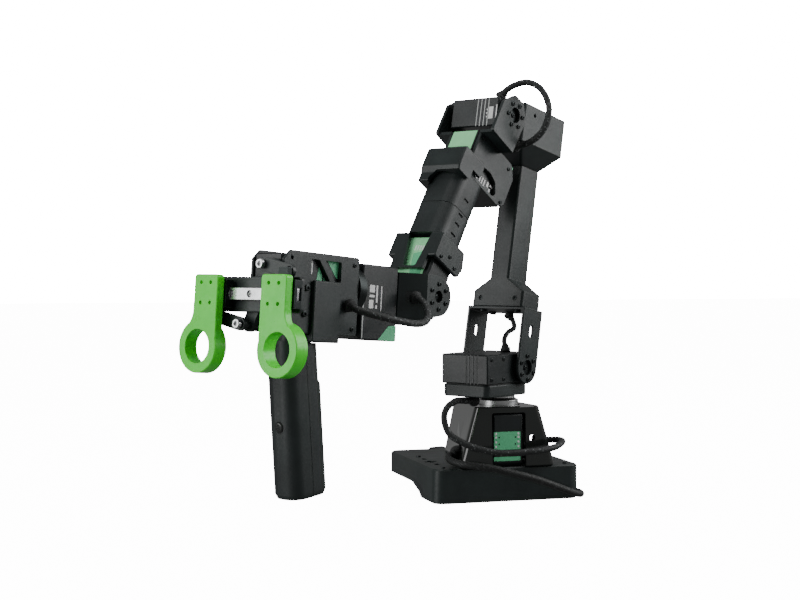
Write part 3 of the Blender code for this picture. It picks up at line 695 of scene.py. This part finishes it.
def build_leads():
    for name, (diameter, points, (first, second, start, end)) in LEADS.items():
        path = smooth_route(points, 0.42)
        piece = woven(f"{name}_woven", path, diameter / 2, "sleeve", "braided_sleeve")
        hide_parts(name)
        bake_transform(piece)
        backs = COLLARS_BACK.get(name, (0.0, 0.0))
        ends = ((points[0], points[1], first, "a"), (points[-1], points[-2], second, "b"))
        for back, (end_point, next_point, body, word) in zip(backs, ends):
            stand, after = Vector(end_point), Vector(next_point)
            stand += (stand - after).normalized() * back
            label = f"{name}_relief_{word}"
            collar(label, (stand, after), diameter / 2, COLLAR_LENGTH, "rubber", body)


def build_cord():
    path = smooth_route([*CORD_ROUTE, *coil_points(), *PLUG_END], 1.1)
    weave = {"sides": 20, "strands": 8, "cell": 0.8, "relief": 0.05}
    cord = woven("power_cable_woven", path, CORD_DIAMETER / 2, "lead", "braided_sleeve", **weave)
    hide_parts("power_cable", "power_coil")
    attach(cord, "base")
    strap = coil_tie("power_cable_tie", "rubber", "base")


build_cord()
build_leads()

# ---------------------------------------------------------------- finish of the CAD nodes

NODE_PAINT = {
    "satin_black": "satin",
    "soft_black": "soft",
    "gloss_black": "gloss",
    "servo_case": "case",
    "dark_metal": "dark_metal",
    "steel": "steel",
    "bright_steel": "chrome",
    "green_plastic": "green",
    "rubber": "rubber",
    "braided_sleeve": "sleeve",
    "circuit_board": "board",
}
# The width of the rounded edges in millimetres, how sharp an edge has to be to get one, and how
# sharp it has to be to stay crisp in the shading.
EDGE = 0.28
SOFTER = {"ring_right": 0.9, "ring_left": 0.9, "base_plate": 0.5}
SOFTER |= {"handle_front": 0.6, "handle_rear": 0.6}
BEVEL_ANGLE = math.radians(36)
CRISP_ANGLE = math.radians(34)


def smooth_by_angle():
    """A node group that shades smooth and keeps edges sharper than the angle crisp."""
    group = bpy.data.node_groups.new("smooth_by_angle", "GeometryNodeTree")
    group.interface.new_socket("Geometry", in_out="INPUT", socket_type="NodeSocketGeometry")
    group.interface.new_socket("Geometry", in_out="OUTPUT", socket_type="NodeSocketGeometry")
    source = group.nodes.new("NodeGroupInput")
    result = group.nodes.new("NodeGroupOutput")
    angle = group.nodes.new("GeometryNodeInputMeshEdgeAngle")
    crisp = group.nodes.new("ShaderNodeMath")
    crisp.operation = "LESS_THAN"
    crisp.inputs[1].default_value = CRISP_ANGLE
    faces = group.nodes.new("GeometryNodeSetShadeSmooth")
    faces.domain = "FACE"
    edges = group.nodes.new("GeometryNodeSetShadeSmooth")
    edges.domain = "EDGE"
    group.links.new(angle.outputs["Unsigned Angle"], crisp.inputs[0])
    group.links.new(source.outputs[0], faces.inputs["Geometry"])
    group.links.new(faces.outputs[0], edges.inputs["Geometry"])
    group.links.new(crisp.outputs[0], edges.inputs["Shade Smooth"])
    group.links.new(edges.outputs[0], result.inputs[0])
    return group


def finish_nodes():
    """Gives every CAD node its material, and those that show rounded and evenly shaded edges."""
    group = smooth_by_angle()
    slots = {row["node"]: row["material_slot"] for row in frame["record"]["subparts"]}
    for name, node in frame["nodes"].items():
        node.data.materials.clear()
        node.data.materials.append(PAINT[NODE_PAINT[slots[name]]])
        if node.hide_render:
            continue
        if "custom_normal" in node.data.attributes:
            node.data.attributes.remove(node.data.attributes["custom_normal"])
        weld = node.modifiers.new("weld", "WELD")
        weld.merge_threshold = 0.000004
        bevel = node.modifiers.new("soft_edges", "BEVEL")
        bevel.width = SOFTER.get(name, EDGE) * MM
        bevel.segments = 2
        bevel.limit_method = "ANGLE"
        bevel.angle_limit = BEVEL_ANGLE
        bevel.miter_outer = "MITER_ARC"
        shade = node.modifiers.new("shade", "NODES")
        shade.node_group = group
        even = node.modifiers.new("even", "WEIGHTED_NORMAL")
        even.keep_sharp = True


# ---------------------------------------------------------------- details on the joints


# How far from the middle of the arm the screws stand on each side, in millimetres.
DISC_CENTRE = 22.75
SHOULDER_DISC = 25.0
ELBOW_DISC = 25.4
WRIST_DISC_CENTRE = 20.55
WRIST_DISC = 23.2
WRIST_HOUSING = 20.3
SHOULDER_CASE = 20.0
FOREARM_CHEEK = 14.0
HAND_PLATE = 13.8
HORN_SCREWS = 12.4


def build_side_screws(sign, word):
    """The screws whose heads point away from the arm on one of its sides."""
    way = "+y" if sign > 0 else "-y"

    def row(name, at, places, radius, height, body):
        name = f"{name}_{word}"
        screws(name, at, way, places, radius, height, "dark_metal", body)

    shoulder = [(0, sign * DISC_CENTRE, 0), *ring_of(8.3, 6, sign * SHOULDER_DISC, 0.3)]
    elbow = [(0, sign * DISC_CENTRE, 0), *ring_of(8.4, 6, sign * ELBOW_DISC, 0.1)]
    wrist = [(0, sign * WRIST_DISC_CENTRE, 0), *ring_of(8.3, 6, sign * WRIST_DISC, 0.5)]
    row("shoulder_screws", ARM, shoulder, 1.55, 1.1, "upper_arm")
    row("elbow_screws", FOREARM, elbow, 1.55, 1.1, "forearm")
    row("wrist_screws", HAND, wrist, 1.5, 1.1, "wrist")
    side = sign * WRIST_HOUSING
    housing = [(125, side, 9.0), (120.5, side, 0.8), (124.5, side, -7.3)]
    row("wrist_housing_screws", ROLL, housing, 1.3, 0.8, "forearm_tube")
    case = [(x, sign * SHOULDER_CASE, 94 + z) for x in (22, 36) for z in (-7, 7)]
    row("shoulder_servo_screws", YAW, case, 1.3, 0.7, "shoulder")
    side = sign * FOREARM_CHEEK
    cheek = [(26, side, 9.5), (52, side, 9.5), (27, side, -26), (52.5, side, -30)]
    row("forearm_plate_screws", FOREARM, cheek, 1.4, 0.8, "forearm")
    side = sign * HAND_PLATE
    row("hand_plate_screws", HAND, [(116.2, side, -2.1), (117.6, side, -17.7)], 2.0, 1.3, "hand")
    row("hand_plate_rear_screws", HAND, [(74, side, 14.5), (74, side, -25)], 1.3, 0.8, "hand")


def build_screws():
    for sign, word in SIDES:
        build_side_screws(sign, word)
    top = [(x, y, 40.0) for x in (-6, 6) for y in (-15, 15)]
    screws("yoke_top_screws", ARM, "-z", top, 2.6, 1.6, "dark_metal", "upper_arm")
    foot = [(9.3, -15, 48), (9.3, 15, 48)]
    screws("column_foot_screws", ARM, "+x", foot, 1.5, 1.2, "dark_metal", "upper_arm")
    base = [(12, y, 24.3) for y in (-46, 46)] + [(-52, y, 24.3) for y in (-44, 44)]
    screws("base_screws", BASE, "+z", base, 1.6, 0.8, "dark_metal", "base")
    flare = [(x, y, 185.0) for x in (-10, 26) for y in (-15, 15)]
    screws("elbow_housing_screws", ARM, "+z", flare, 1.4, 0.7, "dark_metal", "upper_arm")
    rail = [(148.2, y, -8.0) for y in (-30, -15, 0, 15, 30)]
    screws("rail_screws", HAND, "+x", rail, 1.7, 1.3, "steel", "hand")
    ends = [(145.3, y, z) for y in (-33.5, 33.5) for z in (-14.5, -1.5)]
    screws("rail_plate_screws", HAND, "+x", ends, 1.7, 1.1, "steel", "hand")
    for sign, word in SIDES:
        middle = sign * 28.0
        holes = [(154.6, middle + y, z - 8.0) for y in (-4, 4) for z in (-6, 6)]
        body = f"ring_{word}"
        screws(f"ring_screws_{word}", HAND, "+x", holes, 1.1, 1.6, "dark_metal", body)
    horn = [(x, y, 70.5) for x, _, y in ring_of(HORN_SCREWS, 4, 0, 0.4)]
    screws("yaw_horn_screws", YAW, "+z", horn, 0.9, 0.6, "steel", "shoulder")


# ---------------------------------------------------------------- labels


# How thick a label is, and where the servos' faces lie in the frames of their bodies, in millimetres.
LABEL = 0.12
YAW_SERVO_FRONT = 19.62
ELBOW_SERVO_FRONT = 62.82
ROLL_SERVO_END = 14.02
WRIST_SERVO_END = 11.02
SERVO_SIDE = 11.02


def bars(axis, level, spans, thick, radius):
    """Flat printed shapes on one plane. spans are (u low, u high, v low, v high)."""
    low, high = sorted((level, level + thick))
    return [flat(block(*span, radius), axis, low, high) for span in spans]


def printing(name, shapes, at, finish, body):
    solids(name, shapes, at, finish, body)


def side_shape(corners, sign):
    """A printed shape with round corners on a servo's side."""
    low, high = sorted((sign * SERVO_SIDE, sign * (SERVO_SIDE + LABEL)))
    return [flat(rounded(corners), "y", low, high)]


def side_bars(spans, sign, radius=0.25):
    return bars("y", sign * SERVO_SIDE, spans, sign * LABEL, radius)


def label_base_and_column():
    """The labels and grooves of the yaw, shoulder and elbow servos."""
    fields = [(-10.8, 9.0, 36.6, 49.2), (-10.8, 9.0, 28.6, 31.6)]
    printing("yaw_servo_label", bars("x", YAW_SERVO_FRONT, fields, LABEL, 0.5), BASE, "mint", "base")
    on_label = YAW_SERVO_FRONT + LABEL
    ticks = [(y - 0.7, y + 0.7, z, z + 1.5) for y in (-9.3, 7.5) for z in (38.0, 41.3, 44.6, 47.0)]
    printing("yaw_servo_label_ticks", bars("x", on_label, ticks, 0.08, 0.2), BASE, "white", "base")
    dots = [(y - 0.5, y + 0.5, z, z + 1.0) for y in (-7.0, 5.2) for z in (40.0, 44.8)]
    printing("yaw_servo_label_dots", bars("x", on_label, dots, 0.08, 0.2), BASE, "black_ink", "base")

    across = [(1.65 + 3.1 * i, 2.55 + 3.1 * i) for i in range(4)]
    grooves = bars("x", ELBOW_SERVO_FRONT - 0.6, [(*span, 160.8, 180.8) for span in across], 0.3, 0.1)
    printing("elbow_servo_inlays", grooves, ARM, "inlay", "upper_arm")
    patch = [(12.4, 16.2, 165.4, 174.0), (18.5, 19.4, 163.8, 175.2)]
    patch += [(10.5, 11.6, z, z + 1.1) for z in (166.4, 169.0, 171.6)]
    marks = bars("x", ELBOW_SERVO_FRONT, patch, LABEL, 0.2)
    printing("elbow_servo_marks", marks, ARM, "white", "upper_arm")
    dark = [flat(block(*span, -10.2, 10.2, 0.1), "x", 40.42, 40.7) for span in across]
    raised = YAW @ Matrix.Translation((0, 0, 94 * MM))
    printing("shoulder_servo_inlays", dark, raised, "case", "shoulder")


def label_forearm_servo():
    """A pale label on the servo's front end, and a corner and bars on each side."""
    field = bars("z", ROLL_SERVO_END, [(22.2, 42.4, -10.2, 10.2)], LABEL, 0.6)
    printing("forearm_servo_label", field, FOREARM, "pale_mint", "forearm")
    corner = [(20.9, -33.6, 0.3), (20.9, -22.6, 0.3), (24.5, -22.6, 0.3), (33.5, -33.6, 0.3)]
    marks = [(46.4, 48.2, -2.2, 4.6), (49.2, 51.2, 0.4, 4.6), (49.2, 53.6, -2.2, -0.8)]
    marks += [(47.0, 53.4, z, z + 1.3) for z in (-5.6, -8.4, -11.2)]
    marks += [(46.4, 50.0, -15.6, -13.4), (46.4, 48.0, -20.4, -17.0), (49.4, 52.8, -19.0, -17.0)]
    for sign, word in SIDES:
        field = side_shape(corner, sign)
        printing(f"forearm_servo_corner_{word}", field, FOREARM, "mint", "forearm")
        text = side_bars(marks, sign)
        printing(f"forearm_servo_marks_{word}", text, FOREARM, "white", "forearm")


def label_wrist_servo():
    """A bright label seen through the notch, with a darker band and bars on it."""
    field = bars("z", WRIST_SERVO_END, [(111.5, 141.0, -9.5, 12.0)], LABEL, 0.6)
    printing("wrist_servo_label", field, ROLL, "pale_mint", "forearm_tube")
    on_label = WRIST_SERVO_END + LABEL
    corners = [(124, -2, 0.5), (140.6, 1.0, 0.5), (140.6, 10.4, 0.5), (122, 6.4, 0.5)]
    band = [flat(rounded(corners), "z", on_label, on_label + 0.06)]
    printing("wrist_servo_label_band", band, ROLL, "mint", "forearm_tube")
    rows = [(117.4 + 0.1 * i, 121.6, -2.6 + 2.1 * i, -1.5 + 2.1 * i) for i in range(5)]
    marks = bars("z", on_label, rows, 0.06, 0.2)
    printing("wrist_servo_label_marks", marks, ROLL, "white", "forearm_tube")
    text = [(142.0, 150.4, -14.6, -13.4), (142.0, 148.0, -12.2, -11.2), (142.0, 145.0, -10.0, -8.8)]
    text += [(152.0, 153.0, -14.6, -8.8)]
    marks = bars("z", WRIST_SERVO_END, text, LABEL, 0.2)
    printing("wrist_servo_marks", marks, ROLL, "white", "forearm_tube")


def label_hand_servo():
    """A light corner, bars and two long lines on each side."""
    corner = [(27.9, -30.7, 0.3), (45.4, -30.7, 0.3), (35.2, -21.1, 1.0), (27.9, -20.8, 0.3)]
    marks = [(47.4, 49.0, -7.0, 4.0), (50.4, 55.4, -0.6, 4.0), (50.4, 55.4, -3.8, -2.2)]
    marks += [(51.4, 55.6, -10.8, -5.4), (47.6, 49.4, -10.8, -8.6), (43.4, 44.3, -12.0, 4.0)]
    lines = [(60.4, 61.6, -11.0, -1.0), (60.4, 61.6, -30.0, -14.0)]
    for sign, word in SIDES:
        printing(f"hand_servo_corner_{word}", side_shape(corner, sign), HAND, "mint", "wrist")
        printing(f"hand_servo_marks_{word}", side_bars(marks, sign), HAND, "white", "wrist")
        printing(f"hand_servo_strip_{word}", side_bars(lines, sign, 0.2), HAND, "inlay", "wrist")


def label_gripper_servo():
    """What shows of the servo's label through the windows of the plates."""
    leaf = [(100.3, 1.2, 0.2), (105.5, 1.2, 0.2), (103.6, 11.5, 0.2), (100.3, 6.6, 0.2)]
    marks = [(109.2, 110.1, 6.6, 14.6), (111.2, 112.9, 10.4, 14.6), (111.2, 112.9, 7.0, 8.8)]
    for sign, word in SIDES:
        printing(f"gripper_servo_label_{word}", side_shape(leaf, sign), HAND, "mint", "hand")
        printing(f"gripper_servo_marks_{word}", side_bars(marks, sign), HAND, "white", "hand")


def build_labels():
    label_base_and_column()
    label_forearm_servo()
    label_wrist_servo()
    label_hand_servo()
    label_gripper_servo()


# ---------------------------------------------------------------- small fittings


def build_fittings():
    """Gaskets between stacked pieces, the handle's neck, and the spacer behind the plates' windows."""
    foot = flat(block(-10.2, 10.2, -21.2, 21.2, 1.6), "z", 41.9, 42.4)
    solids("column_gasket", [foot], ARM, "rubber", "upper_arm")
    seat = flat(block(-7.2, 40.2, -19.2, 19.2, 4.6), "z", 83.1, 83.7)
    solids("tray_gasket", [seat], YAW, "rubber", "shoulder")
    neck = flat(block(101.0, 124.0, -8.8, 8.8, 6.0), "z", -36.5, -29.4)
    solids("handle_neck", [neck], HAND, "soft", "hand", 0.4)
    fill = [flat(block(83.0, 99.4, -20.0, 16.4, 0.8), "y", -10.8, 10.8)]
    solids("hand_spacer", fill, HAND, "case", "hand", 0.3)
    near = [(85.4, 15.6, 0.2), (96.0, 15.6, 0.2), (86.4, 4.6, 0.6)]
    far = [(94.4, 1.2, 0.2), (99.0, 1.2, 0.2), (99.0, 5.6, 0.2)]
    for sign, word in SIDES:
        low, high = sorted((sign * 10.82, sign * 10.94))
        leaves = [flat(rounded(corners), "y", low, high) for corners in (near, far)]
        solids(f"hand_spacer_label_{word}", leaves, HAND, "mint", "hand")


# ---------------------------------------------------------------- floor and light

# The backdrop's strength as the camera sees it and as it lights the arm, and the floor's.
BACKDROP_GLOW = 40.0
FILL_GLOW = 0.20
FLOOR_GLOW = 16.0
FLOOR_HALF_SIZE = 6.0
FLOOR_LEVEL = -0.0006
LIT = Vector((0.03, -0.05, 0.15))
# Name, place, size and power of each lamp.
LAMPS = (
    ("key", (0.35, 1.0, 0.65), (0.9, 0.9), 11.0),
    ("left", (0.25, -1.1, 0.35), (0.7, 1.0), 8.0),
    ("top", (0.1, 0.0, 1.2), (1.0, 1.0), 5.0),
)


def plane(name, size, at, finish):
    shape = bmesh.new()
    bmesh.ops.create_grid(shape, x_segments=2, y_segments=2, size=size)
    mesh = bpy.data.meshes.new(name)
    shape.to_mesh(mesh)
    shape.free()
    mesh.materials.append(finish)
    made = bpy.data.objects.new(name, mesh)
    made.location = at
    bpy.context.scene.collection.objects.link(made)
    return made


def softbox(name, place, size, power):
    """A rectangular lamp that shines on the middle of the arm."""
    data = bpy.data.lights.new(name, "AREA")
    data.shape = "RECTANGLE"
    data.size, data.size_y = size
    data.energy = power
    lamp = bpy.data.objects.new(name, data)
    bpy.context.scene.collection.objects.link(lamp)
    lamp.location = place
    lamp.rotation_euler = (LIT - Vector(place)).to_track_quat("-Z", "Y").to_euler()


def bright_floor():
    """A pale floor that glows, to match the backdrop."""
    made = Shader("floor", 0.8)
    cloud = made.noise(3.0, 3.0)
    tone = made.blend(cloud, (0.86, 0.86, 0.86), (0.90, 0.90, 0.90))
    made.colour(tone)
    made.feed(made.main.inputs["Emission Color"], tone)
    made.main.inputs["Emission Strength"].default_value = FLOOR_GLOW
    made.bump(made.noise(300.0, 2.0), 0.0001, 0.1)
    return made.material


def build_studio():
    floor = plane("floor", FLOOR_HALF_SIZE, (0, 0, FLOOR_LEVEL), bright_floor())
    floor.visible_diffuse = False
    floor.visible_glossy = False
    world = bpy.data.worlds.new("studio")
    world.use_nodes = True
    nodes, links = world.node_tree.nodes, world.node_tree.links
    background = nodes["Background"]
    background.inputs["Color"].default_value = (1.0, 1.0, 1.0, 1.0)
    seen = nodes.new("ShaderNodeLightPath")
    level = nodes.new("ShaderNodeMapRange")
    level.inputs["To Min"].default_value = FILL_GLOW
    level.inputs["To Max"].default_value = BACKDROP_GLOW
    links.new(seen.outputs["Is Camera Ray"], level.inputs["Value"])
    links.new(level.outputs["Result"], background.inputs["Strength"])
    bpy.context.scene.world = world
    for lamp in LAMPS:
        softbox(*lamp)


finish_nodes()
build_screws()
build_labels()
build_fittings()
build_studio()
